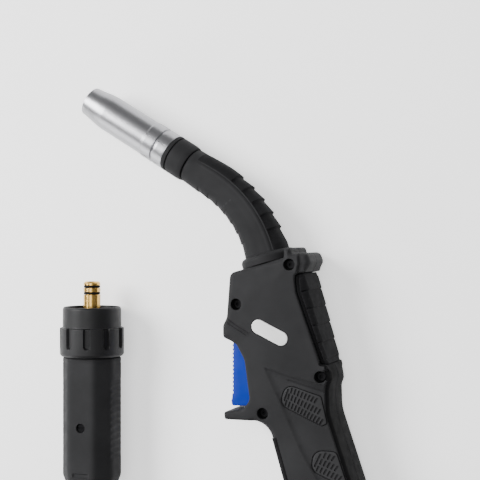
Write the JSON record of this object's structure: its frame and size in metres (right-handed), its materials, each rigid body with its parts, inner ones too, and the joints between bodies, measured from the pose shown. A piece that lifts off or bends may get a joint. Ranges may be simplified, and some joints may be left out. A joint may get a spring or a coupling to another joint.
{
  "type": "mig welding torch",
  "caption": "Hand-held MIG welding torch: swan neck with metal gas nozzle, pistol grip with trigger, coiled cable and central connector with a hand nut.",
  "frame": {"origin": "middle of the base of the torch (without its cable and connector) as it lies on its right side", "axes": "+Y up the handle towards the neck, +Z out of the left side of the handle, +X towards the back of the handle"},
  "size_m": [0.226, 0.5522, 0.04],
  "materials": {
    "nozzle_chrome": "satin chrome plated, turned",
    "copper": "copper alloy, drawn",
    "brass": "turned brass",
    "steel": "zinc plated steel",
    "black_steel": "blackened steel",
    "black_plastic": "matte moulded glass-filled plastic",
    "handle_plastic": "matte moulded, fine spark texture",
    "grip_rubber": "soft-touch moulded rubber",
    "badge_white": "blank satin label",
    "trigger_blue": "semi-gloss moulded",
    "switch_plastic": "moulded",
    "wire_sheath": "PVC sheath",
    "cable_rubber": "extruded rubber sheath",
    "nut_plastic": "moulded nylon"
  },
  "bodies": {
    "torch": {"badge_left": "badge_white", "badge_right": "badge_white", "bend_restrictor": "grip_rubber", "cable_coil": "cable_rubber", "cable_collar": "black_plastic", "cable_crimp": "brass", "cable_lead": "cable_rubber", "cable_tail": "cable_rubber", "clamp_screws": "steel", "collar_ring": "black_plastic", "connector_housing": "handle_plastic", "connector_sleeve": "grip_rubber", "contact_tip": "copper", "front_strip": "grip_rubber", "gas_diffuser": "brass", "gas_pin": "brass", "grip_pads_left": "grip_rubber", "grip_pads_right": "grip_rubber", "handle_screws": "black_steel", "handle_shell_left": "handle_plastic", "handle_shell_right": "handle_plastic", "housing_screw": "black_steel", "inner_cable": "cable_rubber", "insulating_collar": "black_plastic", "microswitch": "switch_plastic", "neck_clamp_block": "brass", "neck_cover": "black_plastic", "neck_flange": "black_plastic", "neck_tube": "copper", "nozzle_spring": "steel", "o_rings": "cable_rubber", "plug_body": "brass", "plug_cable_end": "cable_rubber", "plug_crimp": "brass", "plug_insulator": "switch_plastic", "rear_grip": "grip_rubber", "screw_inserts": "brass", "spring_seat": "black_plastic", "switch_wires": "wire_sheath", "thrust_washer": "steel", "tip_holder": "brass", "trigger_pin": "steel", "trigger_spring": "steel", "wire_liner": "steel"},
    "nozzle": {"gas_nozzle": "nozzle_chrome"},
    "trigger": {"trigger": "trigger_blue"},
    "switch_plunger": {"switch_plunger": "switch_plastic"},
    "connector_nut": {"connector_nut": "nut_plastic"},
    "contact_pin_a": {"contact_pin_a": "brass"},
    "contact_pin_b": {"contact_pin_b": "brass"}
  },
  "joints": [
    {"name": "nozzle_pull", "type": "slide", "parent": "torch", "child": "nozzle", "axis": [-0.8526, 0.5225, 0], "range_m": [0, 0.07]},
    {"name": "trigger_pull", "type": "hinge", "parent": "torch", "child": "trigger", "pos_m": [0.01108, 0.02398, 0.0185], "axis": [0, 0, 1], "range_deg": [0, 8], "stiffness_Nm_per_rad": 1, "springref_deg": -6.88, "deforming": ["trigger_spring"]},
    {"name": "plunger_slide", "type": "slide", "parent": "torch", "child": "switch_plunger", "axis": [1, 0, 0], "range_m": [0, 0.0021]},
    {"name": "nut_turn", "type": "hinge", "parent": "torch", "child": "connector_nut", "pos_m": [-0.09532, 0.02348, 0.02], "axis": [0, 1, 0], "continuous": true},
    {"name": "contact_a_press", "type": "slide", "parent": "torch", "child": "contact_pin_a", "axis": [0, -1, 0], "range_m": [0, 0.002], "stiffness_N_per_m": 500, "springref_m": -0.001},
    {"name": "contact_b_press", "type": "slide", "parent": "torch", "child": "contact_pin_b", "axis": [0, -1, 0], "range_m": [0, 0.002], "stiffness_N_per_m": 500, "springref_m": -0.001}
  ],
  "couplings": [
    {"joint": "plunger_slide", "follows": "trigger_pull", "m_per_rad": 0.0148}
  ]
}
